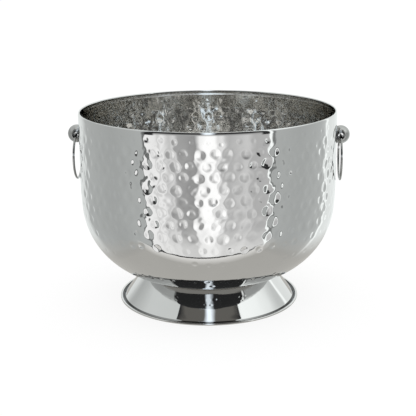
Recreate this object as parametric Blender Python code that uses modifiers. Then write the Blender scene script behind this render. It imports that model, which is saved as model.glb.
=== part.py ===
"""Silver champagne bucket: a hammered stainless bowl on a spun foot, with two hanging ring handles.

Metres, +Z up. The origin is on the floor under the centre of the bowl, and the handles lie along X.
Each separate piece of the real bucket is one object, and its modifiers stay live.
"""
import math

import bmesh
import bpy
from mathutils import Matrix, Vector

COLLECTION_NAME = "champagne_bucket"
CUTTER_COLLECTION_NAME = "champagne_bucket_cutters"

# Clearance between pieces that touch.
GAP = 0.0003

# Bowl: a straight wall, a long easing arc and a round corner that ends in a flat bottom.
BOWL_HEIGHT = 0.2745
WALL_RADIUS = 0.1810
SHEET = 0.0012
WALL_FOOT_HEIGHT = 0.1716
EASING_RADIUS = 0.3480
EASING_ANGLE = math.radians(5.7)
CORNER_RADIUS = 0.1108
HEM_THICKNESS = 0.0030
HEM_HEIGHT = 0.0045

# Foot: a dished flange under the bowl, a straight cone, a groove and a curled bead on the floor.
FOOT_RADIUS = 0.1296
FOOT_SLOPE = math.radians(52.2)
NECK_RADIUS = 0.0941
FLANGE_INNER_RADIUS = 0.0600
FOOT_SHEET = 0.0012
CONE_END_RADIUS = 0.1222
GROOVE_RADIUS = 0.1245
GROOVE_HEIGHT = 0.0012
UNDERSIDE_HEIGHT = 0.0006
BEAD_RADIUS = 0.0016
BEAD_LAND = 0.0010
BEAD_GROOVE_ANGLE = math.radians(180.0)
BEAD_UNDER_ANGLE = math.radians(-155.0)

# Braze metal in the corner between the foot's neck and the bowl.
FOOT_BRAZE_WIDTH = 0.0018
FOOT_BRAZE_DROP = 0.0010

# Handles: a cross-drilled ball brazed to the wall on each side, and a wire ring through it.
BALL_RADIUS = 0.0127
BALL_REACH = 0.0057
BALL_HEIGHT = 0.2386
CROSS_HOLE_RADIUS = 0.0045
CROSS_HOLE_HEIGHT = 0.2380
BRAZE_PAD_THICKNESS = 0.0005
BRAZE_PAD_RADIUS = 0.0105
RING_RADIUS = 0.03175
RING_WIRE_RADIUS = 0.0015
RING_DROP = 0.0318

# Facets.
TURN_STEPS = 72
CORNER_STEPS = 14
EASING_STEPS = 2
HEM_STEPS = 6
BEAD_STEPS = 8
FLANGE_STEPS = 4
BALL_SEGMENTS = 28
BALL_RINGS = 18
HOLE_SEGMENTS = 28
PAD_SEGMENTS = 24
RING_SEGMENTS = 60
WIRE_SEGMENTS = 10
WALL_CUTTER_SEGMENTS = 360
CUTTER_MARGIN = 0.010
SMOOTH_ANGLE = math.radians(35.0)
MERGE_DISTANCE = 0.00001

SIDES = {"left": -1, "right": 1}

# Polished bowl and foot, satin cast balls, bright drawn wire, and braze metal: colour, roughness, metallic.
FINISHES = {
    "hammered_steel": ((0.78, 0.78, 0.77), 0.06, 1.0),
    "polished_steel": ((0.76, 0.76, 0.75), 0.05, 1.0),
    "satin_steel": ((0.58, 0.58, 0.57), 0.32, 1.0),
    "wire_steel": ((0.70, 0.70, 0.69), 0.12, 1.0),
    "silver_braze": ((0.66, 0.65, 0.60), 0.38, 1.0),
}


def clear_scene():
    for obj in list(bpy.data.objects):
        bpy.data.objects.remove(obj)


def make_collection(name):
    collection = bpy.data.collections.new(name)
    bpy.context.scene.collection.children.link(collection)
    return collection


def make_material(name, finish):
    """Give one piece a material of its own in the named finish."""
    colour, roughness, metallic = FINISHES[finish]
    material = bpy.data.materials.new(name)
    material.use_nodes = True
    shader = material.node_tree.nodes["Principled BSDF"]
    shader.inputs["Base Color"].default_value = (*colour, 1.0)
    shader.inputs["Roughness"].default_value = roughness
    shader.inputs["Metallic"].default_value = metallic
    material.diffuse_color = (*colour, 1.0)
    return material


def add_object(name, mesh, collection, finish):
    piece = bpy.data.objects.new(name, mesh)
    collection.objects.link(piece)
    mesh.materials.clear()
    mesh.materials.append(make_material(name, finish))
    return piece


def arc(centre, radius, start, end, steps):
    """Points on an arc in the (radius, height) plane, from angle start to angle end."""
    points = []
    for step in range(steps + 1):
        angle = start + (end - start) * step / steps
        points.append((centre[0] + radius * math.cos(angle), centre[1] + radius * math.sin(angle)))
    return points


def add_turned_piece(name, outline, closed, collection, finish):
    """Turn an outline of (radius, height) points about the Z axis. It runs down the outer side."""
    mesh = bpy.data.meshes.new(name)
    vertices = [(radius, 0.0, height) for radius, height in outline]
    edges = [(index, index + 1) for index in range(len(outline) - 1)]
    if closed:
        edges.append((len(outline) - 1, 0))
    mesh.from_pydata(vertices, edges, [])
    piece = add_object(name, mesh, collection, finish)
    screw = piece.modifiers.new("turn", "SCREW")
    screw.steps = TURN_STEPS
    screw.render_steps = TURN_STEPS
    screw.use_merge_vertices = True
    screw.merge_threshold = MERGE_DISTANCE
    screw.use_smooth_shade = True
    return piece


def corner_centre():
    """Centre of the bowl's corner arc, tangent to the easing arc above it."""
    reach = EASING_RADIUS - CORNER_RADIUS
    radius = WALL_RADIUS - EASING_RADIUS + reach * math.cos(EASING_ANGLE)
    height = WALL_FOOT_HEIGHT - reach * math.sin(EASING_ANGLE)
    return radius, height


def bowl_bottom_height():
    return corner_centre()[1] - CORNER_RADIUS


def bowl_underside_height(radius):
    """Height of the bowl's outer surface where it curves away from its flat bottom."""
    centre_radius, centre_height = corner_centre()
    return centre_height - math.sqrt(CORNER_RADIUS ** 2 - (radius - centre_radius) ** 2)


def bowl_side(inset):
    """One face of the sheet, inset from the outer face, from the bottom of the wall to the flat bottom."""
    easing_centre = (WALL_RADIUS - EASING_RADIUS, WALL_FOOT_HEIGHT)
    easing = arc(easing_centre, EASING_RADIUS - inset, 0.0, -EASING_ANGLE, EASING_STEPS)
    corner = arc(corner_centre(), CORNER_RADIUS - inset, -EASING_ANGLE, -math.pi / 2, CORNER_STEPS)
    return easing[:-1] + corner


def bowl_outline():
    """Inner face from the centre up to the hem, over the rounded rim and down the outer face."""
    bottom = bowl_bottom_height()
    inner = [(0.0, bottom + SHEET)] + bowl_side(SHEET)[::-1]
    hem_radius = HEM_THICKNESS / 2
    hem_foot = BOWL_HEIGHT - HEM_HEIGHT
    hem_step = (HEM_THICKNESS - SHEET) / 2
    hem = [(WALL_RADIUS - SHEET, hem_foot - hem_step), (WALL_RADIUS - HEM_THICKNESS, hem_foot)]
    rim_centre = (WALL_RADIUS - hem_radius, BOWL_HEIGHT - hem_radius)
    rim = arc(rim_centre, hem_radius, math.pi, 0.0, HEM_STEPS)
    outer = bowl_side(0.0) + [(0.0, bottom)]
    return inner + hem + rim + outer


def flange_height(radius):
    """Height of the foot's flange, dished to sit against the bowl's underside."""
    if radius <= corner_centre()[0]:
        return bowl_bottom_height() - GAP
    return bowl_underside_height(radius) - GAP


def cone_height(radius):
    """Height of the foot's outer face on the straight cone."""
    return flange_height(NECK_RADIUS) - (radius - NECK_RADIUS) * math.tan(FOOT_SLOPE)


def flange_face(neck_radius, inset):
    """One face of the flange, from its inner edge out to the neck."""
    curve_start = corner_centre()[0]
    step = (neck_radius - curve_start) / FLANGE_STEPS
    radii = [FLANGE_INNER_RADIUS] + [curve_start + step * count for count in range(FLANGE_STEPS + 1)]
    return [(radius, flange_height(radius) - inset) for radius in radii]


def foot_outline():
    """Outer face from the flange down the cone, across a groove, round the bead, and back up inside."""
    bead_centre = (FOOT_RADIUS - BEAD_RADIUS, math.sqrt(BEAD_RADIUS ** 2 - BEAD_LAND ** 2))
    land_angle = math.asin(BEAD_LAND / BEAD_RADIUS)
    cone_end = (CONE_END_RADIUS, cone_height(CONE_END_RADIUS))
    outer = flange_face(NECK_RADIUS, 0.0) + [cone_end, (GROOVE_RADIUS, GROOVE_HEIGHT)]
    bead_out = arc(bead_centre, BEAD_RADIUS, BEAD_GROOVE_ANGLE, land_angle - math.pi / 2, BEAD_STEPS)
    bead_in = arc(bead_centre, BEAD_RADIUS, -land_angle - math.pi / 2, BEAD_UNDER_ANGLE, 2)
    slant = FOOT_SHEET / math.cos(FOOT_SLOPE)
    drop = cone_end[1] - slant - UNDERSIDE_HEIGHT
    inner_end = (CONE_END_RADIUS + drop / math.tan(FOOT_SLOPE), UNDERSIDE_HEIGHT)
    shift = (slant - FOOT_SHEET) / math.tan(FOOT_SLOPE)
    inner = [inner_end] + flange_face(NECK_RADIUS - shift, FOOT_SHEET)[::-1]
    return outer + bead_out + bead_in + inner


def foot_braze_outline():
    """A three-sided fillet: its long side faces out, between the cone and the bowl's underside."""
    inner_radius = NECK_RADIUS + 2.0 * GAP
    outer_radius = inner_radius + FOOT_BRAZE_WIDTH
    drop_radius = inner_radius + FOOT_BRAZE_DROP / math.tan(FOOT_SLOPE)
    clearance = GAP / math.cos(FOOT_SLOPE)
    return [
        (inner_radius, bowl_underside_height(inner_radius) - GAP),
        (outer_radius, bowl_underside_height(outer_radius) - GAP),
        (drop_radius, cone_height(drop_radius) + clearance),
        (inner_radius, cone_height(inner_radius) + clearance),
    ]


def add_cutter(name, mesh, matrix, collection):
    cutter = bpy.data.objects.new(name, mesh)
    cutter.matrix_world = matrix
    cutter.hide_render = True
    cutter.display_type = "WIRE"
    collection.objects.link(cutter)
    return cutter


def cylinder_mesh(name, radius, length, segments):
    mesh = bpy.data.meshes.new(name)
    shape = bmesh.new()
    bmesh.ops.create_cone(
        shape, cap_ends=True, segments=segments, radius1=radius, radius2=radius, depth=length)
    shape.to_mesh(mesh)
    shape.free()
    return mesh


def wall_cutter(name, clearance, collection):
    """The space inside the bowl's wall, grown by a clearance, at the height of the handles."""
    mesh = cylinder_mesh(name, WALL_RADIUS + clearance, 4 * BALL_RADIUS, WALL_CUTTER_SEGMENTS)
    return add_cutter(name, mesh, Matrix.Translation((0.0, 0.0, BALL_HEIGHT)), collection)


def cut(piece, cutter, operation="DIFFERENCE"):
    boolean = piece.modifiers.new(cutter.name, "BOOLEAN")
    boolean.operation = operation
    boolean.solver = "EXACT"
    boolean.object = cutter


def add_lug(side, direction, collection, cutters):
    """A ball whose back is hollowed to sit on the round wall, drilled across for the ring."""
    name = f"{side}_ball_lug"
    mesh = bpy.data.meshes.new(name)
    shape = bmesh.new()
    bmesh.ops.create_uvsphere(shape, u_segments=BALL_SEGMENTS, v_segments=BALL_RINGS, radius=BALL_RADIUS)
    shape.to_mesh(mesh)
    shape.free()
    lug = add_object(name, mesh, collection, "satin_steel")
    lug.location = (direction * (WALL_RADIUS + BALL_REACH), 0.0, BALL_HEIGHT)
    clearance = GAP + BRAZE_PAD_THICKNESS + GAP
    cut(lug, wall_cutter(f"{side}_lug_seat", clearance, cutters))
    hole_length = 2 * BALL_RADIUS + CUTTER_MARGIN
    hole_mesh = cylinder_mesh(f"{side}_cross_hole", CROSS_HOLE_RADIUS, hole_length, HOLE_SEGMENTS)
    across = Matrix.Rotation(math.pi / 2, 4, "X")
    place = Matrix.Translation((lug.location.x, 0.0, CROSS_HOLE_HEIGHT)) @ across
    cut(lug, add_cutter(hole_mesh.name, hole_mesh, place, cutters))
    mesh.shade_smooth()
    mesh.set_sharp_from_angle(angle=SMOOTH_ANGLE)
    return lug


def add_braze_pad(side, direction, collection, cutters):
    """The thin braze layer that holds a ball to the wall, curved like the wall on both faces."""
    name = f"{side}_lug_braze"
    mesh = cylinder_mesh(name, BRAZE_PAD_RADIUS, 2 * BALL_REACH, PAD_SEGMENTS)
    mesh.transform(Matrix.Rotation(math.pi / 2, 4, "Y"))
    pad = add_object(name, mesh, collection, "silver_braze")
    pad.location = (direction * WALL_RADIUS, 0.0, BALL_HEIGHT)
    outer = wall_cutter(f"{side}_braze_outer", GAP + BRAZE_PAD_THICKNESS, cutters)
    cut(pad, outer, "INTERSECT")
    cut(pad, wall_cutter(f"{side}_braze_inner", GAP, cutters))
    return pad


def add_ring(side, direction, collection):
    """A round wire ring, hanging from a pivot in the middle of the ball's cross-hole."""
    pivot = bpy.data.objects.new(f"{side}_ring_pivot", None)
    pivot.location = (direction * (WALL_RADIUS + BALL_REACH), 0.0, CROSS_HOLE_HEIGHT)
    collection.objects.link(pivot)
    bpy.ops.mesh.primitive_torus_add(
        major_radius=RING_RADIUS, minor_radius=RING_WIRE_RADIUS,
        major_segments=RING_SEGMENTS, minor_segments=WIRE_SEGMENTS)
    torus = bpy.context.object
    mesh = torus.data
    bpy.data.objects.remove(torus)
    mesh.transform(Matrix.Rotation(math.pi / 2, 4, "Y"))
    mesh.shade_smooth()
    ring = add_object(f"{side}_ring", mesh, collection, "wire_steel")
    ring.parent = pivot
    ring.location = Vector((0.0, 0.0, -RING_DROP))
    return ring


def main():
    clear_scene()
    parts = make_collection(COLLECTION_NAME)
    cutters = make_collection(CUTTER_COLLECTION_NAME)
    add_turned_piece("bowl", bowl_outline(), False, parts, "hammered_steel")
    add_turned_piece("foot", foot_outline(), True, parts, "polished_steel")
    add_turned_piece("foot_braze", foot_braze_outline(), True, parts, "silver_braze")
    for side, direction in SIDES.items():
        add_lug(side, direction, parts, cutters)
        add_braze_pad(side, direction, parts, cutters)
        add_ring(side, direction, parts)


main()
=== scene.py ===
"""Looks of the silver champagne bucket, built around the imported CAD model."""
import math

import bmesh
import bpy
import numpy as np
from mathutils import Matrix, Vector


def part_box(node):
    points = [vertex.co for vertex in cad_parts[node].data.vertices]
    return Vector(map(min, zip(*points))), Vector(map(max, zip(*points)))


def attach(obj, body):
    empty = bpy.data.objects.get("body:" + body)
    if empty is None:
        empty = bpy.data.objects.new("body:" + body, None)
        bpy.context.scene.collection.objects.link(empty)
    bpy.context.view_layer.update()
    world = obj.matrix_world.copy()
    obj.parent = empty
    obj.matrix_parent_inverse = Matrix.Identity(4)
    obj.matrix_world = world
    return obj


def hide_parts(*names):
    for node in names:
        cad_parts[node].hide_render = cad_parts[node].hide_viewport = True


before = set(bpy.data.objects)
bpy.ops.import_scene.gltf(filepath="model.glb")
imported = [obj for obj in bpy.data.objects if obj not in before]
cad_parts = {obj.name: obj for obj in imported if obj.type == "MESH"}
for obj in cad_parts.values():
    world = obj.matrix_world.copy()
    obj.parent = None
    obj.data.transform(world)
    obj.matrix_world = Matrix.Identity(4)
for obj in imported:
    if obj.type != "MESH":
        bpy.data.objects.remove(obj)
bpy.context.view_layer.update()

MM = 0.001
SIDES = {"left": -1, "right": 1}

# ---------------------------------------------------------------- sizes from the frame
BOWL_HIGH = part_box("bowl")[1]
FOOT_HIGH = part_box("foot")[1]
WALL_RADIUS = BOWL_HIGH.x
RIM_HEIGHT = BOWL_HIGH.z
FOOT_RADIUS = FOOT_HIGH.x

# ---------------------------------------------------------------- bowl
# The outline as in the CAD, with a slightly taller hem.
SHEET = 1.2 * MM
WALL_FOOT_HEIGHT = 171.6 * MM
EASING_RADIUS = 348.0 * MM
EASING_ANGLE = math.radians(5.7)
CORNER_RADIUS = 110.8 * MM
HEM_THICKNESS = 3.0 * MM
HEM_HEIGHT = 5.2 * MM
HEM_FOOT = RIM_HEIGHT - HEM_HEIGHT
# Where the two faces start under the hem, and the radius of the small fan that closes the bottom.
INNER_START = 2.2 * MM
OUTER_START = 0.5 * MM
FAN_RADIUS = 1.5 * MM
BOWL_COLUMNS = 800
OUTER_STEP = 1.5 * MM
INNER_STEP = 2.2 * MM
LENGTH_STEP = 0.2 * MM

# ---------------------------------------------------------------- hammer marks
# Rows of marks: distance down the sheet from the rim in millimetres, and the marks' size against the wall's.
MARK_ROWS = [(13, 0.5), (28, 1.0), (43, 1.0), (58, 1.0), (74, 1.0), (89, 1.0), (105, 1.0), (120, 1.0),
             (137, 1.0), (155, 0.75), (178, 0.55), (197, 0.35), (216, 0.6), (232, 0.6), (248, 0.6)]
MARKS_ROUND = 58
MARK_RADIUS = 6.4 * MM
MARK_DEPTH = 0.58 * MM
MARK_JITTER = 1.4 * MM
MARK_JITTER_DOWN = 0.7
MARK_DEPTH_SPREAD = 0.25
MARK_SIZE_SPREAD = 0.10
MARK_BLEND = 0.05 * MM
MARK_REACH = 2.5
# Unevenness of the sheet between the marks: length and height of its waves, from long to short.
WAVES = [(34.0 * MM, 0.14 * MM), (15.0 * MM, 0.06 * MM), (8.0 * MM, 0.032 * MM)]
WAVE_COUNT = 24
WAVE_LEAN = (0.3, 1.0)
WAVES_START = 8 * MM
WAVES_START_FADE = 20 * MM
WAVES_END = 165 * MM
WAVES_END_FADE = 40 * MM
# The inner face is worked smoother than the outer one.
INNER_MARKS = 0.34
INNER_WAVES = 0.25
MARK_SEED = 7
WAVE_SEED = 8
FOOT_SEED = 9

# ---------------------------------------------------------------- foot
FOOT_SLOPE = math.radians(52.2)
NECK_RADIUS = 94.1 * MM
FLANGE_INNER_RADIUS = 60.0 * MM
FLANGE_GAP = 0.3 * MM
FLANGE_POINTS = 12
CONE_END_RADIUS = 122.2 * MM
CONE_STEP = 3 * MM
NECK_ROUND = 0.8 * MM
CONE_END_ROUND = 0.3 * MM
GROOVE_RADIUS = 124.5 * MM
GROOVE_HEIGHT = 1.2 * MM
GROOVE_ROUND = 0.5 * MM
UNDERSIDE_HEIGHT = 0.6 * MM
BEAD_RADIUS = 1.6 * MM
BEAD_START = math.radians(170)
BEAD_END = math.radians(-140)
BEAD_STEPS = 28
FOOT_SEGMENTS = 360
FOOT_SHARP_ANGLE = math.radians(40)
FOOT_WAVES = [(26.0 * MM, 0.05 * MM), (11.0 * MM, 0.012 * MM)]
FOOT_WAVE_COUNT = 16
FOOT_WAVE_LEAN = (-0.5, 0.5)
FOOT_WAVE_MARGIN = 1 * MM
FOOT_WAVE_FADE = 3 * MM
MERGE_DISTANCE = 0.01 * MM

# ---------------------------------------------------------------- handles
BALL_RADIUS = 12.7 * MM
BALL_REACH = 5.7 * MM
BALL_HEIGHT = 238.6 * MM
BALL_SEGMENTS = 96
BALL_RINGS = 64
SEAT_GAP = 0.2 * MM
SEAT_SEGMENTS = 720
HOLE_HEIGHT = 238.0 * MM
HOLE_RADIUS = 4.5 * MM
HOLE_SEGMENTS = 72
CUTTER_LENGTH = 4 * BALL_RADIUS
EDGE_BEVEL = 0.5 * MM
EDGE_BEVEL_STEPS = 3
EDGE_BEVEL_ANGLE = math.radians(35)
BALL_SHARP_ANGLE = math.radians(50)
RING_RADIUS = 31.75 * MM
RING_SEGMENTS = 192
WIRE_RADIUS = 1.6 * MM
WIRE_SEGMENTS = 24
RING_DROP = 31.8 * MM

# ---------------------------------------------------------------- materials
# Each steel's colour, roughness, the roughness's spread, and the scale and strength of its fine grain.
STEELS = {
    "hammered_steel": ((0.68, 0.68, 0.675), 0.045, 0.02, 900.0, 0.02),
    "polished_steel": ((0.68, 0.68, 0.675), 0.04, 0.02, 900.0, 0.01),
    "satin_steel": ((0.46, 0.46, 0.45), 0.26, 0.05, 1500.0, 0.15),
    "wire_steel": ((0.36, 0.36, 0.35), 0.10, 0.03, 1200.0, 0.05),
    "silver_braze": ((0.60, 0.59, 0.55), 0.38, 0.05, 700.0, 0.3),
}
TARNISH_SCALE = 18.0
TARNISH_DETAIL = 5.0
TARNISH_DARK = 0.94
TARNISH_LIGHT = 1.04
GRAIN_DETAIL = 3.0
GRAIN_HEIGHT = 0.2 * MM
SATIN_SPECULAR = (0.75, 0.75, 0.75, 1.0)
INNER_COLOUR = (0.82, 0.815, 0.80)
GLINT_COLOUR = (0.97, 0.97, 0.98)
BORE_SHADE_COLOUR = (0.10, 0.10, 0.10)
GROOVE_SHADE_FRONT = (0.30, 0.30, 0.30)
GROOVE_SHADE_SIDES = (0.03, 0.03, 0.03)
# Painted shade in the groove beside the foot's bead: its span by radius, and how far out to the sides it
# turns darker.
GROOVE_SHADE_INNER = CONE_END_RADIUS + 0.3 * MM
GROOVE_SHADE_OUTER = GROOVE_RADIUS + 2.2 * MM
GROOVE_SHADE_SOFTNESS = 0.3 * MM
GROOVE_SHADE_SIDE_REACH = 85 * MM
GROOVE_SHADE_SIDE_FADE = 50 * MM
# Painted shade inside each ball's bore: how far past the hole it reaches, and its softness.
BORE_MARGIN = 0.3 * MM
BORE_SOFTNESS = 0.5 * MM
# A painted glint: a bright band of colour round a ring, above the ring's middle.
GLINT_HEIGHT = 8.0 * MM
GLINT_HALF_WIDTH = 1.8 * MM
GLINT_SOFTNESS = 1.0 * MM

# ---------------------------------------------------------------- studio
# The studio by azimuth from the camera, in degrees, + to the right: display shades that the steel shows.
# Pale cloth all round, with a few bright edges, and an opening at the front for the camera.
REFLECTANCE = 0.66
CLOTH = [(-180, 205), (-146, 205), (-140, 192), (-134, 168), (-90, 160), (-59, 170), (-57.5, 100), (-56, 100),
         (54, 250), (57, 250), (57.5, 110), (59, 110), (60, 168), (85, 161), (116, 172), (124.5, 188),
         (126, 245), (129, 245), (131, 216), (180, 214)]
CLOTH_OVERHEAD = [(-180, 226), (-146, 212), (-140, 196), (-60, 196), (60, 244), (85, 238), (124.5, 200),
                  (126, 250), (129, 250), (131, 216), (180, 214)]
CLOTH_TINT = (0.965, 1.0, 0.99)
# Through the opening: lamps and pale screens below the camera's height.
LAMPS = [(-55, 235), (-46, 228), (-43, 195), (-40, 235), (-34, 190), (-29, 210), (-26, 160), (-16, 148),
         (-11, 142), (-7, 235), (0, 255), (6, 250), (8, 215), (12, 225), (15, 185), (18, 174), (34, 198),
         (40, 172), (53, 176)]
LOW_LAMP = (1.12, 1.12, 1.11)
LOW_LAMP_SHARE = 0.65
SCREEN = (0.52, 0.52, 0.52)
BLACK = (0.034, 0.035, 0.036)
BROWN = (0.155, 0.150, 0.138)
STRIP = (1.35, 1.48, 1.60)
CEILING = (0.090, 0.087, 0.078)
CEILING_STRIP = (2.6, 2.9, 3.2)
DIM_CEILING = (0.125, 0.126, 0.124)
DEEP_STRIP = (1.35, 1.55, 1.75)
BACK_CLOTH = (1.05, 1.06, 1.05)
EYE_WHITE = (1.03, 1.03, 1.03)
# Zones by elevation in degrees: the middle of each edge, and the edge's softness.
OVERHEAD_EDGE = (22.0, 16.0)
LOW_EDGE = (-30.0, 24.0)
SCREEN_EDGE = (-2.0, 12.0)
JAMB_EDGE = (-9.0, 3.0)
BLACK_EDGE = (9.0, 14.0)
BROWN_EDGE = (49.0, 2.0)
TOP_LAMP_EDGE = (67.0, 6.0)
# The ceiling starts lower over the opening than over the cloth.
CEILING_START = 66.0
CEILING_LOWER = -16.0
CEILING_SOFTNESS = 4.0
# Zones by azimuth in degrees: both edges and their softness.
OPENING_SIDES = (-55.5, 54.0, 0.6)
SCREEN_SIDES = (-47.0, 47.0, 2.0)
BACK_EDGE = (105.0, 30.0)
# The window strip as directions lean to the camera's left and right: both edges and their softness.
STRIP_SIDES = (-0.068, 0.074, 0.08)
CEILING_STRIP_SIDES = (-0.20, 0.08, 0.05)
DEEP_STRIP_SIDES = (-0.17, 0.11, 0.05)
# Ray Depth where later reflections get their own shades: off the table, in the world, and deep in the bowl.
TABLE_SECOND = (1.5, 0.1)
WORLD_SECOND = (2.5, 0.1)
WORLD_DEEP = (3.5, 0.1)

# ---------------------------------------------------------------- floor and table
FLOOR_HALF_WIDTH = 20.0
FLOOR_COLOUR = (0.20, 0.20, 0.20, 1)
FLOOR_ROUGHNESS = 0.9
FLOOR_GLOW = 0.83
TABLE_HALF_WIDTH = 300 * MM
TABLE_HALF_DEPTH = 240 * MM
TABLE_DROP = 0.3 * MM
# Painted light on the table that the steel sees: a shadowed glow, a brighter lit glow along its front, dimmer
# in later reflections.
TABLE_SHADOWED_GLOW = (0.56, 0.55, 0.52)
TABLE_LIT_FRONT_GLOW = (1.04, 1.03, 1.00)
TABLE_FRONT_WIDTH = 36 * MM
TABLE_LATER = 0.65
TABLE_FADE_START = 0.8
TABLE_FADE_WIDTH = 0.4
TABLE_EDGE = 8 * MM
TABLE_EDGE_HALF_WIDTH = 230 * MM

# ---------------------------------------------------------------- camera
CAMERA_TURN = math.radians(3.43)
CAMERA_ELEVATION = math.radians(15.13)
CAMERA_DISTANCE = 1.4083
CAMERA_AIM_HEIGHT = 132.1 * MM
CAMERA_LENS = 84.49
CAMERA_SENSOR = 36.0
CAMERA_ROLL = math.radians(0.45)
CAMERA_SHIFT_X = -0.0008
CAMERA_SHIFT_Y = -0.00360577


# ---------------------------------------------------------------- outlines and meshes
def arc(centre, radius, start, end, steps):
    """Points on an arc in the (radius, height) plane, from angle start to angle end."""
    angles = [start + (end - start) * step / steps for step in range(steps + 1)]
    return [(centre[0] + radius * math.cos(a), centre[1] + radius * math.sin(a)) for a in angles]


def lengths_along(points):
    """Distance along a polyline at each of its points."""
    return np.concatenate([[0.0], np.cumsum(np.linalg.norm(np.diff(points, axis=0), axis=1))])


def resample(points, step):
    """Points at even spacing along a polyline, both ends kept."""
    points = np.array(points)
    lengths = lengths_along(points)
    count = max(2, int(round(lengths[-1] / step)) + 1)
    where = np.linspace(0.0, lengths[-1], count)
    return np.stack([np.interp(where, lengths, points[:, axis]) for axis in range(2)], axis=1)


def new_piece(name, mesh, body, replaced):
    """A visual piece that rides on a body and takes the place of a CAD node."""
    piece = bpy.data.objects.new(name, mesh)
    bpy.context.scene.collection.objects.link(piece)
    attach(piece, body)
    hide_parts(replaced)
    return piece


def turn(name, rings, caps):
    """A mesh from rings of vertices, an array of (rings, columns, 3), with fans at its ends if capped."""
    count, columns, _ = rings.shape
    vertices = rings.reshape(-1, 3).tolist()
    index = np.arange(count * columns).reshape(count, columns)
    here, above = index[:-1], index[1:]
    corners = [here, np.roll(here, -1, axis=1), np.roll(above, -1, axis=1), above]
    faces = np.stack(corners, axis=-1).reshape(-1, 4).tolist()
    if caps:
        for end, flip in ((0, True), (-1, False)):
            centre = len(vertices)
            vertices.append(rings[end].mean(axis=0).tolist())
            for i, j in zip(index[end].tolist(), np.roll(index[end], -1).tolist()):
                faces.append((centre, j, i) if flip else (centre, i, j))
    mesh = bpy.data.meshes.new(name)
    mesh.from_pydata(vertices, [], faces)
    mesh.validate()
    mesh.shade_smooth()
    return mesh


def sheet_waves(seed, waves, count, lean, reach, angle, along):
    """Waves round and along a turned sheet of radius reach; lean says how much they run along it."""
    random = np.random.default_rng(seed)
    total = np.zeros(np.broadcast(angle, along).shape)
    for length, height in waves:
        most = 2 * math.pi * reach / length
        for _ in range(count):
            turns = int(random.uniform(-most, most))
            slope = random.uniform(*lean) * 2 * math.pi / length
            phase = random.uniform(0, 2 * math.pi)
            total += np.cos(turns * angle + slope * along + phase) * height / math.sqrt(count / 2)
    return total


# ---------------------------------------------------------------- bowl
def corner_centre():
    """Centre of the round between the bowl's side and its flat bottom."""
    reach = EASING_RADIUS - CORNER_RADIUS
    radius = WALL_RADIUS - EASING_RADIUS + reach * math.cos(EASING_ANGLE)
    return radius, WALL_FOOT_HEIGHT - reach * math.sin(EASING_ANGLE)


def bowl_side(inset):
    """One face of the sheet, from the foot of the straight wall to the start of the flat bottom."""
    easing_centre = (WALL_RADIUS - EASING_RADIUS, WALL_FOOT_HEIGHT)
    points = arc(easing_centre, EASING_RADIUS - inset, 0.0, -EASING_ANGLE, 12)[:-1]
    points += arc(corner_centre(), CORNER_RADIUS - inset, -EASING_ANGLE, -math.pi / 2, 80)
    return points


def whole_side(bottom):
    """The smooth outer face, from the top of the rim to the middle of the bottom."""
    return np.array([(WALL_RADIUS, RIM_HEIGHT)] + bowl_side(0.0) + [(0.0, bottom)])


def hammer_marks(side):
    """Each row of marks: angles, distances down the sheet, radius there, and each mark's depth and size."""
    random = np.random.default_rng(MARK_SEED)
    lengths = lengths_along(side)
    count = MARKS_ROUND
    rows = []
    for number, (distance, scale) in enumerate(MARK_ROWS):
        distance *= MM
        radius = float(np.interp(distance, lengths, side[:, 0]))
        angles = (np.arange(count) + 0.5 * (number % 2)) * 2 * math.pi / count
        angles = angles + random.normal(0.0, MARK_JITTER, count) / radius
        along = distance + random.normal(0.0, MARK_JITTER_DOWN * MARK_JITTER, count)
        depth = MARK_DEPTH * scale * (1 + random.normal(0.0, MARK_DEPTH_SPREAD, count))
        size = MARK_RADIUS * scale * (1 + random.normal(0.0, MARK_SIZE_SPREAD, count))
        rows.append((angles, along, radius, depth, size))
    return rows


def hammer_depth(rows, angle, along):
    """How deep the hammered face lies under the smooth one, by angle and distance down the sheet."""
    total = np.zeros_like(angle)
    for angles, centres, radius, depth, size in rows:
        near = np.abs(along[:, 0] - centres.mean()) < MARK_REACH * MARK_RADIUS
        here = angle[near]
        down = along[near]
        count = len(angles)
        best = np.full_like(here, -1.0)
        first = np.round((here - angles[0]) / (2 * math.pi / count)).astype(int)
        for step in (-1, 0, 1):
            pick = (first + step) % count
            across = (here - angles[pick] + math.pi) % (2 * math.pi) - math.pi
            distance = np.hypot(across * radius, down - centres[pick])
            best = np.maximum(best, depth[pick] * (1 - (distance / size[pick]) ** 2))
        # A soft maximum with the smooth face rounds each mark's edge.
        total[near] += MARK_BLEND * np.log1p(np.exp(best / MARK_BLEND))
    return total


def bowl_waves(angle, along):
    """Gentle unevenness of the hammered sheet between the marks, fading out at the rim and below the wall."""
    total = sheet_waves(WAVE_SEED, WAVES, WAVE_COUNT, WAVE_LEAN, WALL_RADIUS, angle, along)
    start = np.clip((along - WAVES_START) / WAVES_START_FADE, 0, 1)
    end = np.clip((WAVES_END - along) / WAVES_END_FADE, 0, 1)
    return total * (start * end)


def rim_outline():
    """Over the hemmed rim, from the inner face to the outer face: a soft outer shoulder on a small round."""
    top_round = HEM_THICKNESS / 2
    centre = (WALL_RADIUS - top_round, RIM_HEIGHT - top_round)
    hem_inside = WALL_RADIUS - HEM_THICKNESS
    lip = [(WALL_RADIUS - SHEET, HEM_FOOT - 1.6 * MM), (hem_inside + 0.5 * MM, HEM_FOOT - 0.4 * MM)]
    # Close points at the foot of the hem's inner face keep its shading flat.
    face = [(hem_inside, HEM_FOOT + lift * MM) for lift in (0.3, 0.5, 0.8, 1.8)]
    over = arc(centre, top_round, math.pi, math.pi / 2, 8)
    shoulder = []
    for step in range(1, 13):
        angle = math.pi / 2 * (1 - step / 12)
        drop = HEM_HEIGHT * (1 - math.sin(angle))
        shoulder.append((centre[0] + top_round * math.cos(angle), RIM_HEIGHT - drop))
    return lip + face + over + shoulder


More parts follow.
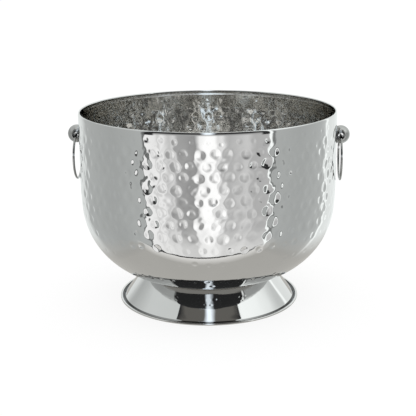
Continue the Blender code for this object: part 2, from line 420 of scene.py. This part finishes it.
def hammered_bowl():
    """The bowl's sheet turned from one outline, with the marks and waves pressed into both faces."""
    bottom = corner_centre()[1] - CORNER_RADIUS
    inner_start = (WALL_RADIUS - SHEET, HEM_FOOT - INNER_START)
    outer_start = (WALL_RADIUS, HEM_FOOT - OUTER_START)
    inner = resample([inner_start] + bowl_side(SHEET) + [(FAN_RADIUS, bottom + SHEET)], INNER_STEP)
    outer = resample([outer_start] + bowl_side(0.0) + [(FAN_RADIUS, bottom)], OUTER_STEP)
    rim = rim_outline()
    outline = np.vstack([inner[::-1], rim, outer])
    tangent = np.gradient(outline, axis=0)
    tangent /= np.linalg.norm(tangent, axis=1)[:, None]
    # The outline runs up the inner face and down the outer one, so its left side faces out of the sheet.
    normal = np.stack([-tangent[:, 1], tangent[:, 0]], axis=1)

    # The marks go by distance down the sheet, which each face takes from the nearest point of the outer face.
    side = whole_side(bottom)
    dense = resample(side, LENGTH_STEP)
    dense_length = np.linspace(0.0, lengths_along(side)[-1], len(dense))
    along = np.array([dense_length[np.argmin(np.linalg.norm(dense - point, axis=1))] for point in outline])
    sign = np.zeros(len(outline))
    sign[:len(inner)] = 1.0
    sign[len(inner) + len(rim):] = -1.0

    angle = np.linspace(0.0, 2 * math.pi, BOWL_COLUMNS, endpoint=False)
    grid_angle, grid_along = np.meshgrid(angle, along)
    marks = np.where(sign > 0, INNER_MARKS, 1.0)[:, None]
    waves = np.where(sign > 0, INNER_WAVES, 1.0)[:, None]
    depth = hammer_depth(hammer_marks(side), grid_angle, grid_along) * marks
    depth += bowl_waves(grid_angle, grid_along) * waves
    depth *= np.abs(sign)[:, None]
    radius = outline[:, 0][:, None] + depth * (sign * normal[:, 0])[:, None]
    height = outline[:, 1][:, None] + depth * (sign * normal[:, 1])[:, None]
    rings = np.stack([radius * np.cos(grid_angle), radius * np.sin(grid_angle), height], axis=-1)
    mesh = turn("hammered_bowl", rings, caps=True)

    values = np.zeros(len(mesh.vertices), dtype=np.float32)
    values[:len(inner) * BOWL_COLUMNS] = 1.0
    mesh.attributes.new("inner_face", "FLOAT", "POINT").data.foreach_set("value", values)
    return new_piece("hammered_bowl", mesh, "vessel", "bowl")


# ---------------------------------------------------------------- foot
def flange_height(radius):
    """Height of the foot's flange, which lies against the bowl's underside."""
    centre_radius, centre_height = corner_centre()
    past = max(0.0, radius - centre_radius)
    return centre_height - math.sqrt(CORNER_RADIUS ** 2 - past ** 2) - FLANGE_GAP


def cone_height(radius):
    """Height of the foot's straight cone, below the neck."""
    return flange_height(NECK_RADIUS) - (radius - NECK_RADIUS) * math.tan(FOOT_SLOPE)


def round_corner(before, corner, after, reach, steps=5):
    """A small curve in place of a corner of an outline."""
    before, corner, after = (np.array(point) for point in (before, corner, after))
    start = corner + (before - corner) / np.linalg.norm(before - corner) * reach
    end = corner + (after - corner) / np.linalg.norm(after - corner) * reach
    curve = []
    for step in range(steps + 1):
        t = step / steps
        curve.append(tuple((1 - t) ** 2 * start + 2 * t * (1 - t) * corner + t * t * end))
    return curve


def cone_waves(angle, radius):
    """Slight unevenness that spinning leaves in the cone, fading out at the neck and the groove."""
    total = sheet_waves(FOOT_SEED, FOOT_WAVES, FOOT_WAVE_COUNT, FOOT_WAVE_LEAN, CONE_END_RADIUS,
                        angle, radius)
    start = np.clip((radius - NECK_RADIUS - FOOT_WAVE_MARGIN) / FOOT_WAVE_FADE, 0, 1)
    end = np.clip((CONE_END_RADIUS - FOOT_WAVE_MARGIN - radius) / FOOT_WAVE_FADE, 0, 1)
    return total * start * end


def foot_outer():
    """The foot's upper face: a dished flange, a straight cone, a groove and a rolled bead."""
    neck = (NECK_RADIUS, flange_height(NECK_RADIUS))
    cone_end = (CONE_END_RADIUS, cone_height(CONE_END_RADIUS))
    groove = (GROOVE_RADIUS, GROOVE_HEIGHT)
    bead = (FOOT_RADIUS - BEAD_RADIUS, BEAD_RADIUS)
    bead_side = (bead[0] - BEAD_RADIUS, bead[1])
    radii = np.linspace(FLANGE_INNER_RADIUS, NECK_RADIUS, FLANGE_POINTS)
    flange = [(radius, flange_height(radius)) for radius in radii]
    outer = flange[:-1] + round_corner(flange[-2], neck, cone_end, NECK_ROUND)
    outer += resample([outer[-1], cone_end], CONE_STEP)[1:-1].tolist()
    outer += round_corner(neck, cone_end, groove, CONE_END_ROUND)
    outer += round_corner(cone_end, groove, bead_side, GROOVE_ROUND)
    return outer + arc(bead, BEAD_RADIUS, BEAD_START, BEAD_END, BEAD_STEPS)


def foot_under():
    """The foot's underside, one sheet in, from beside the bead back to the flange's inner edge."""
    slant = SHEET / math.cos(FOOT_SLOPE)
    drop = cone_height(CONE_END_RADIUS) - slant - UNDERSIDE_HEIGHT
    end = (CONE_END_RADIUS + drop / math.tan(FOOT_SLOPE), UNDERSIDE_HEIGHT)
    neck_radius = NECK_RADIUS - (slant - SHEET) / math.tan(FOOT_SLOPE)
    under = resample([end, (neck_radius, flange_height(neck_radius) - SHEET)], CONE_STEP).tolist()
    radii = np.linspace(neck_radius, FLANGE_INNER_RADIUS, FLANGE_POINTS)[1:]
    return under + [(radius, flange_height(radius) - SHEET) for radius in radii]


def spun_foot():
    """The foot's sheet turned from one outline, with slight waves in the cone's upper face."""
    outer = foot_outer()
    outline = np.array(outer + foot_under() + outer[:1])
    angle = np.linspace(0.0, 2 * math.pi, FOOT_SEGMENTS, endpoint=False)
    radius = np.repeat(outline[:, :1], FOOT_SEGMENTS, axis=1)
    radius[:len(outer)] -= cone_waves(angle[None, :], np.array(outer)[:, :1])
    height = outline[:, 1][:, None] * np.ones_like(angle)
    rings = np.stack([radius * np.cos(angle), radius * np.sin(angle), height], axis=-1)
    mesh = turn("spun_foot", rings, caps=False)
    shape = bmesh.new()
    shape.from_mesh(mesh)
    bmesh.ops.remove_doubles(shape, verts=shape.verts, dist=MERGE_DISTANCE)
    bmesh.ops.recalc_face_normals(shape, faces=shape.faces)
    shape.to_mesh(mesh)
    shape.free()
    mesh.set_sharp_from_angle(angle=FOOT_SHARP_ANGLE)
    return new_piece("spun_foot", mesh, "vessel", "foot")


# ---------------------------------------------------------------- handles
def apply_modifiers(obj):
    """Make a piece's modifiers part of its mesh."""
    depsgraph = bpy.context.evaluated_depsgraph_get()
    mesh = bpy.data.meshes.new_from_object(obj.evaluated_get(depsgraph))
    obj.modifiers.clear()
    obj.data = mesh


def cut_cylinder(obj, name, radius, segments, pose):
    """Cut a cylinder out of a ball lug."""
    mesh = bpy.data.meshes.new(name)
    shape = bmesh.new()
    bmesh.ops.create_cone(shape, cap_ends=True, segments=segments, radius1=radius, radius2=radius,
                          depth=CUTTER_LENGTH)
    shape.to_mesh(mesh)
    shape.free()
    mesh.transform(pose)
    cutter = bpy.data.objects.new(name, mesh)
    bpy.context.scene.collection.objects.link(cutter)
    cut = obj.modifiers.new("cut", "BOOLEAN")
    cut.operation = "DIFFERENCE"
    cut.solver = "EXACT"
    cut.object = cutter
    apply_modifiers(obj)
    bpy.data.objects.remove(cutter)


def ball_lug(side, direction):
    """A cast ball with a seat for the wall and a cross-hole for the ring, its edges broken."""
    name = f"{side}_ball_lug_cast"
    mesh = bpy.data.meshes.new(name)
    shape = bmesh.new()
    bmesh.ops.create_uvsphere(shape, u_segments=BALL_SEGMENTS, v_segments=BALL_RINGS, radius=BALL_RADIUS)
    shape.to_mesh(mesh)
    shape.free()
    centre = Vector((direction * (WALL_RADIUS + BALL_REACH), 0.0, BALL_HEIGHT))
    mesh.transform(Matrix.Translation(centre))
    lug = new_piece(name, mesh, "vessel", f"{side}_ball_lug")
    seat_pose = Matrix.Translation((0, 0, BALL_HEIGHT))
    cut_cylinder(lug, "seat", WALL_RADIUS + SEAT_GAP, SEAT_SEGMENTS, seat_pose)
    hole_pose = Matrix.Translation((centre.x, 0, HOLE_HEIGHT)) @ Matrix.Rotation(math.pi / 2, 4, "X")
    cut_cylinder(lug, "hole", HOLE_RADIUS, HOLE_SEGMENTS, hole_pose)
    bevel = lug.modifiers.new("edges", "BEVEL")
    bevel.width = EDGE_BEVEL
    bevel.segments = EDGE_BEVEL_STEPS
    bevel.limit_method = "ANGLE"
    bevel.angle_limit = EDGE_BEVEL_ANGLE
    apply_modifiers(lug)
    lug.data.shade_smooth()
    lug.data.set_sharp_from_angle(angle=BALL_SHARP_ANGLE)
    return lug


def wire_ring(side, direction):
    """A closed ring of round wire, hanging through its ball's cross-hole."""
    bpy.ops.mesh.primitive_torus_add(major_radius=RING_RADIUS, minor_radius=WIRE_RADIUS,
                                     major_segments=RING_SEGMENTS, minor_segments=WIRE_SEGMENTS)
    torus = bpy.context.object
    mesh = torus.data
    bpy.data.objects.remove(torus)
    mesh.transform(Matrix.Rotation(math.pi / 2, 4, "Y"))
    centre = (direction * (WALL_RADIUS + BALL_REACH), 0.0, HOLE_HEIGHT - RING_DROP)
    mesh.transform(Matrix.Translation(centre))
    mesh.shade_smooth()
    return new_piece(f"{side}_wire_ring", mesh, f"{side}_ring", f"{side}_ring")


# ---------------------------------------------------------------- nodes
def math_node(tree, operation, *values):
    node = tree.nodes.new("ShaderNodeMath")
    node.operation = operation
    for index, value in enumerate(values):
        if isinstance(value, (int, float)):
            node.inputs[index].default_value = value
        else:
            tree.links.new(value, node.inputs[index])
    return node.outputs[0]


def mix(tree, factor, first, second):
    """One colour where the factor is 0 and another where it is 1."""
    node = tree.nodes.new("ShaderNodeMix")
    node.data_type = "RGBA"
    tree.links.new(factor, node.inputs["Factor"])
    for name, value in (("A", first), ("B", second)):
        if isinstance(value, tuple):
            node.inputs[name].default_value = (*value, 1.0)
        else:
            tree.links.new(value, node.inputs[name])
    return node.outputs["Result"]


def rise(tree, value, edge, width):
    """0 below an edge and 1 above it, over a soft width."""
    node = tree.nodes.new("ShaderNodeMapRange")
    node.inputs["From Min"].default_value = edge - width / 2
    node.inputs["From Max"].default_value = edge + width / 2
    tree.links.new(value, node.inputs["Value"])
    return node.outputs["Result"]


def inverse(tree, value):
    return math_node(tree, "SUBTRACT", 1.0, value)


def inside(tree, value, low, high, width):
    """1 between two edges and 0 outside them, over a soft width."""
    below_high = inverse(tree, rise(tree, value, high, width))
    return math_node(tree, "MULTIPLY", rise(tree, value, low, width), below_high)


def radial(tree, first, second):
    """Distance from an axis, by the two coordinates across it."""
    squares = [math_node(tree, "MULTIPLY", value, value) for value in (first, second)]
    return math_node(tree, "SQRT", math_node(tree, "ADD", *squares))


def coordinates(tree, kind):
    """The x, y and z of a texture coordinate."""
    place = tree.nodes.new("ShaderNodeTexCoord")
    split = tree.nodes.new("ShaderNodeSeparateXYZ")
    tree.links.new(place.outputs[kind], split.inputs[0])
    return tuple(split.outputs)


# ---------------------------------------------------------------- materials
def noise(tree, place, scale, detail):
    """Soft noise fixed to the object, from 0 to 1."""
    node = tree.nodes.new("ShaderNodeTexNoise")
    node.inputs["Scale"].default_value = scale
    node.inputs["Detail"].default_value = detail
    tree.links.new(place.outputs["Object"], node.inputs["Vector"])
    return node.outputs["Fac"]


def steel(name):
    """Polished steel: faint cloudy tarnish in colour, and uneven polish in roughness."""
    colour, roughness, spread, grain, grain_strength = STEELS[name]
    material = bpy.data.materials.new(name)
    material.use_nodes = True
    tree = material.node_tree
    shader = tree.nodes["Principled BSDF"]
    shader.inputs["Metallic"].default_value = 1.0
    place = tree.nodes.new("ShaderNodeTexCoord")
    clouds = noise(tree, place, TARNISH_SCALE, TARNISH_DETAIL)
    dark = tuple(channel * TARNISH_DARK for channel in colour)
    light = tuple(min(1.0, channel * TARNISH_LIGHT) for channel in colour)
    tree.links.new(mix(tree, clouds, dark, light), shader.inputs["Base Color"])
    rough = tree.nodes.new("ShaderNodeMapRange")
    rough.inputs["To Min"].default_value = roughness - spread
    rough.inputs["To Max"].default_value = roughness + spread
    tree.links.new(clouds, rough.inputs["Value"])
    tree.links.new(rough.outputs["Result"], shader.inputs["Roughness"])
    bump = tree.nodes.new("ShaderNodeBump")
    bump.inputs["Strength"].default_value = grain_strength
    bump.inputs["Distance"].default_value = GRAIN_HEIGHT
    tree.links.new(noise(tree, place, grain, GRAIN_DETAIL), bump.inputs["Height"])
    tree.links.new(bump.outputs["Normal"], shader.inputs["Normal"])
    return material


def recolour(material, factor, colour):
    """Give a material another base colour where the factor is 1."""
    tree = material.node_tree
    base = tree.nodes["Principled BSDF"].inputs["Base Color"]
    tree.links.new(mix(tree, factor, base.links[0].from_socket, colour), base)


def lighter_inner_face(material):
    """The inner face gets a lighter colour than the outer one."""
    mask = material.node_tree.nodes.new("ShaderNodeAttribute")
    mask.attribute_name = "inner_face"
    recolour(material, mask.outputs["Fac"], INNER_COLOUR)


def groove_painted_shade(material):
    """Painted shade: a dark colour in the groove beside the foot's bead, darker round the sides."""
    tree = material.node_tree
    x, y, _ = coordinates(tree, "Object")
    mask = inside(tree, radial(tree, x, y), GROOVE_SHADE_INNER, GROOVE_SHADE_OUTER, GROOVE_SHADE_SOFTNESS)
    beside = rise(tree, math_node(tree, "ABSOLUTE", x), GROOVE_SHADE_SIDE_REACH, GROOVE_SHADE_SIDE_FADE)
    recolour(material, mask, mix(tree, beside, GROOVE_SHADE_FRONT, GROOVE_SHADE_SIDES))


def bore_painted_shade(material):
    """Painted shade: a dull, dark colour inside the ball's bore, round the ring's wire."""
    tree = material.node_tree
    x, _, z = coordinates(tree, "Object")
    out = math_node(tree, "SUBTRACT", math_node(tree, "ABSOLUTE", x), WALL_RADIUS + BALL_REACH)
    up = math_node(tree, "SUBTRACT", z, HOLE_HEIGHT)
    beyond = rise(tree, radial(tree, out, up), HOLE_RADIUS + BORE_MARGIN, BORE_SOFTNESS)
    recolour(material, inverse(tree, beyond), BORE_SHADE_COLOUR)


def painted_glint_band(material):
    """A painted glint: a bright band of colour round each side of a ring."""
    tree = material.node_tree
    z = coordinates(tree, "Object")[2]
    middle = HOLE_HEIGHT - RING_DROP + GLINT_HEIGHT
    mask = inside(tree, z, middle - GLINT_HALF_WIDTH, middle + GLINT_HALF_WIDTH, GLINT_SOFTNESS)
    recolour(material, mask, GLINT_COLOUR)


def set_material(obj, material):
    obj.data.materials.clear()
    obj.data.materials.append(material)


# ---------------------------------------------------------------- studio
def grey(display):
    """Linear value of a display grey from 0 to 255."""
    c = display / 255
    return c / 12.92 if c <= 0.04045 else ((c + 0.055) / 1.055) ** 2.4


def ramp(tree, degrees, stops):
    """Greys over azimuth, by stops of degrees and the display shade that the steel shows."""
    node = tree.nodes.new("ShaderNodeValToRGB")
    elements = node.color_ramp.elements
    while len(elements) > 1:
        elements.remove(elements[-1])
    for index, (stop, display) in enumerate(stops):
        position = (stop + 180) / 360
        element = elements[0] if index == 0 else elements.new(position)
        element.position = position
        value = grey(display) / REFLECTANCE
        element.color = (value, value, value, 1.0)
    turns = math_node(tree, "DIVIDE", degrees, 360.0)
    tree.links.new(math_node(tree, "ADD", turns, 0.5), node.inputs["Fac"])
    return node.outputs["Color"]


def tinted_cloth(tree, degrees, elevation):
    """The cloth tent, level and overhead."""
    overhead = rise(tree, elevation, *OVERHEAD_EDGE)
    cloth = mix(tree, overhead, ramp(tree, degrees, CLOTH), ramp(tree, degrees, CLOTH_OVERHEAD))
    tint = tree.nodes.new("ShaderNodeMix")
    tint.data_type = "RGBA"
    tint.blend_type = "MULTIPLY"
    tint.inputs["Factor"].default_value = 1.0
    tree.links.new(cloth, tint.inputs["A"])
    tint.inputs["B"].default_value = (*CLOTH_TINT, 1.0)
    return tint.outputs["Result"]


def through_opening(tree, degrees, elevation, strip):
    """What the steel shows of the opening at first sight, from the floor up."""
    low = math_node(tree, "MULTIPLY", inverse(tree, rise(tree, elevation, *LOW_EDGE)), LOW_LAMP_SHARE)
    shade = mix(tree, low, ramp(tree, degrees, LAMPS), LOW_LAMP)
    # Level with the camera it is a grey screen between black jambs, then black and brown with a bright strip.
    shade = mix(tree, rise(tree, elevation, *SCREEN_EDGE), shade, SCREEN)
    jambs = inverse(tree, inside(tree, degrees, *SCREEN_SIDES))
    jambs = math_node(tree, "MULTIPLY", jambs, rise(tree, elevation, *JAMB_EDGE))
    shade = mix(tree, jambs, shade, BLACK)
    shade = mix(tree, rise(tree, elevation, *BLACK_EDGE), shade, mix(tree, strip, BLACK, STRIP))
    shade = mix(tree, rise(tree, elevation, *BROWN_EDGE), shade, mix(tree, strip, BROWN, STRIP))
    return mix(tree, rise(tree, elevation, *TOP_LAMP_EDGE), shade, LOW_LAMP)


def second_reflection(tree, cloth, opening, strip, sideways, elevation):
    """Light that has met the steel before comes from the dark room past the lamps, and its brown ceiling."""
    shade = mix(tree, strip, mix(tree, opening, cloth, BLACK), STRIP)
    ceiling = mix(tree, inside(tree, sideways, *CEILING_STRIP_SIDES), CEILING, CEILING_STRIP)
    start = math_node(tree, "MULTIPLY_ADD", opening, CEILING_LOWER, CEILING_START)
    above = rise(tree, math_node(tree, "SUBTRACT", elevation, start), 0.0, CEILING_SOFTNESS)
    return mix(tree, above, shade, ceiling)


def deep_reflection(tree, degrees, sideways):
    """Deep inside the bowl the steel shows the dim ceiling, its strip, and cloth only to the back."""
    back = rise(tree, math_node(tree, "ABSOLUTE", degrees), *BACK_EDGE)
    strip = inside(tree, sideways, *DEEP_STRIP_SIDES)
    return mix(tree, strip, mix(tree, back, DIM_CEILING, BACK_CLOTH), DEEP_STRIP)


def studio_world():
    """White to the eye and to the floor; the steel sees a cloth tent with an opening at the front."""
    world = bpy.data.worlds.new("studio")
    bpy.context.scene.world = world
    world.use_nodes = True
    tree = world.node_tree
    tree.nodes.clear()
    x, y, z = coordinates(tree, "Generated")
    azimuth = math_node(tree, "ARCTAN2", x, math_node(tree, "MULTIPLY", y, -1.0))
    azimuth = math_node(tree, "WRAP", math_node(tree, "SUBTRACT", azimuth, CAMERA_TURN), math.pi, -math.pi)
    degrees = math_node(tree, "MULTIPLY", azimuth, 180 / math.pi)
    elevation = math_node(tree, "MULTIPLY", math_node(tree, "ARCSINE", z), 180 / math.pi)
    sideways = math_node(tree, "ADD", math_node(tree, "MULTIPLY", x, math.cos(CAMERA_TURN)),
                         math_node(tree, "MULTIPLY", y, math.sin(CAMERA_TURN)))

    cloth = tinted_cloth(tree, degrees, elevation)
    opening = inside(tree, degrees, *OPENING_SIDES)
    strip = inside(tree, sideways, *STRIP_SIDES)
    once = mix(tree, opening, cloth, through_opening(tree, degrees, elevation, strip))
    twice = second_reflection(tree, cloth, opening, strip, sideways, elevation)
    deep = deep_reflection(tree, degrees, sideways)

    path = tree.nodes.new("ShaderNodeLightPath")
    depth = path.outputs["Ray Depth"]
    studio = mix(tree, rise(tree, depth, *WORLD_SECOND), once, twice)
    studio = mix(tree, rise(tree, depth, *WORLD_DEEP), studio, deep)
    seen = mix(tree, path.outputs["Is Glossy Ray"], EYE_WHITE, studio)
    background = tree.nodes.new("ShaderNodeBackground")
    tree.links.new(seen, background.inputs["Color"])
    output = tree.nodes.new("ShaderNodeOutputWorld")
    tree.links.new(background.outputs[0], output.inputs["Surface"])


# ---------------------------------------------------------------- floor and table
def stage_sheet(name, half_x, half_y, height):
    """A level sheet of the studio, with its material's nodes."""
    mesh = bpy.data.meshes.new(name)
    signs = ((-1, -1), (1, -1), (1, 1), (-1, 1))
    corners = [(along * half_x, across * half_y, height) for along, across in signs]
    mesh.from_pydata(corners, [], [(0, 1, 2, 3)])
    sheet = bpy.data.objects.new(name, mesh)
    bpy.context.scene.collection.objects.link(sheet)
    material = bpy.data.materials.new(name)
    material.use_nodes = True
    mesh.materials.append(material)
    return sheet, material.node_tree


def glow(name, half_x, half_y, height, shade, front_shade):
    """A glowing sheet that only the steel sees: one glow, another along the front, dimmer in later
    reflections, and fading out to both sides.
    """
    sheet, tree = stage_sheet(name, half_x, half_y, height)
    x, y, _ = coordinates(tree, "Object")
    forward = math_node(tree, "MULTIPLY", y, -1.0)
    front = rise(tree, forward, half_y - TABLE_FRONT_WIDTH / 2, TABLE_FRONT_WIDTH)
    path = tree.nodes.new("ShaderNodeLightPath")
    later = rise(tree, path.outputs["Ray Depth"], *TABLE_SECOND)
    dim = tuple(channel * TABLE_LATER for channel in shade)
    light = tree.nodes.new("ShaderNodeEmission")
    tree.links.new(mix(tree, later, mix(tree, front, shade, front_shade), dim), light.inputs["Color"])
    clear = tree.nodes.new("ShaderNodeBsdfTransparent")
    fade = rise(tree, math_node(tree, "ABSOLUTE", x), TABLE_FADE_START * half_x, TABLE_FADE_WIDTH * half_x)
    blend = tree.nodes.new("ShaderNodeMixShader")
    tree.links.new(fade, blend.inputs["Fac"])
    tree.links.new(light.outputs[0], blend.inputs[1])
    tree.links.new(clear.outputs[0], blend.inputs[2])
    tree.links.new(blend.outputs[0], tree.nodes["Material Output"].inputs["Surface"])
    sheet.visible_camera = False
    sheet.visible_diffuse = False
    sheet.visible_shadow = False


def studio_floor():
    """A pale floor, and just under it glowing sheets that the steel sees: the table top with painted shadow
    and a painted lit front, and its dark front edge.
    """
    floor, tree = stage_sheet("floor", FLOOR_HALF_WIDTH, FLOOR_HALF_WIDTH, 0.0)
    shader = tree.nodes["Principled BSDF"]
    shader.inputs["Base Color"].default_value = FLOOR_COLOUR
    shader.inputs["Roughness"].default_value = FLOOR_ROUGHNESS
    shader.inputs["Emission Color"].default_value = (1, 1, 1, 1)
    shader.inputs["Emission Strength"].default_value = FLOOR_GLOW
    shader.inputs["Specular IOR Level"].default_value = 0.0
    floor.visible_glossy = False
    glow("table", TABLE_HALF_WIDTH, TABLE_HALF_DEPTH, -TABLE_DROP, TABLE_SHADOWED_GLOW, TABLE_LIT_FRONT_GLOW)
    glow("table_edge", TABLE_EDGE_HALF_WIDTH, TABLE_HALF_DEPTH + TABLE_EDGE, -2 * TABLE_DROP, BLACK, BLACK)


# ---------------------------------------------------------------- camera
def photo_camera():
    """The camera in front of the bucket, looking a little down on it."""
    camera = bpy.data.objects.new("camera", bpy.data.cameras.new("camera"))
    bpy.context.scene.collection.objects.link(camera)
    camera.data.lens = CAMERA_LENS
    camera.data.sensor_width = CAMERA_SENSOR
    camera.data.clip_start = 10 * MM
    camera.data.shift_x = CAMERA_SHIFT_X
    camera.data.shift_y = CAMERA_SHIFT_Y
    direction = Vector((math.sin(CAMERA_TURN), -math.cos(CAMERA_TURN), 0.0)) * math.cos(CAMERA_ELEVATION)
    direction.z = math.sin(CAMERA_ELEVATION)
    camera.location = direction * CAMERA_DISTANCE + Vector((0, 0, CAMERA_AIM_HEIGHT))
    turned = Matrix.Rotation(CAMERA_TURN, 4, "Z")
    tilted = Matrix.Rotation(math.pi / 2 - CAMERA_ELEVATION, 4, "X")
    rolled = Matrix.Rotation(-CAMERA_ROLL, 4, "Z")
    camera.rotation_euler = (turned @ tilted @ rolled).to_euler()
    bpy.context.scene.camera = camera


photo_camera()
studio_world()
studio_floor()

hammered = steel("hammered_steel")
lighter_inner_face(hammered)
set_material(hammered_bowl(), hammered)
polished = steel("polished_steel")
# The foot's groove gets painted shade.
groove_painted_shade(polished)
set_material(spun_foot(), polished)
satin = steel("satin_steel")
satin.node_tree.nodes["Principled BSDF"].inputs["Specular Tint"].default_value = SATIN_SPECULAR
# The balls' bores get painted shade.
bore_painted_shade(satin)
wire = steel("wire_steel")
# Each ring gets a painted glint.
painted_glint_band(wire)
braze = steel("silver_braze")
for side, direction in SIDES.items():
    set_material(ball_lug(side, direction), satin)
    set_material(wire_ring(side, direction), wire)
    set_material(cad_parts[f"{side}_lug_braze"], braze)
set_material(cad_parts["foot_braze"], braze)

scene = bpy.context.scene
scene.view_settings.view_transform = "Standard"
# Light inside the bowl meets the steel many times before it leaves.
scene.cycles.max_bounces = 16
scene.cycles.glossy_bounces = 16
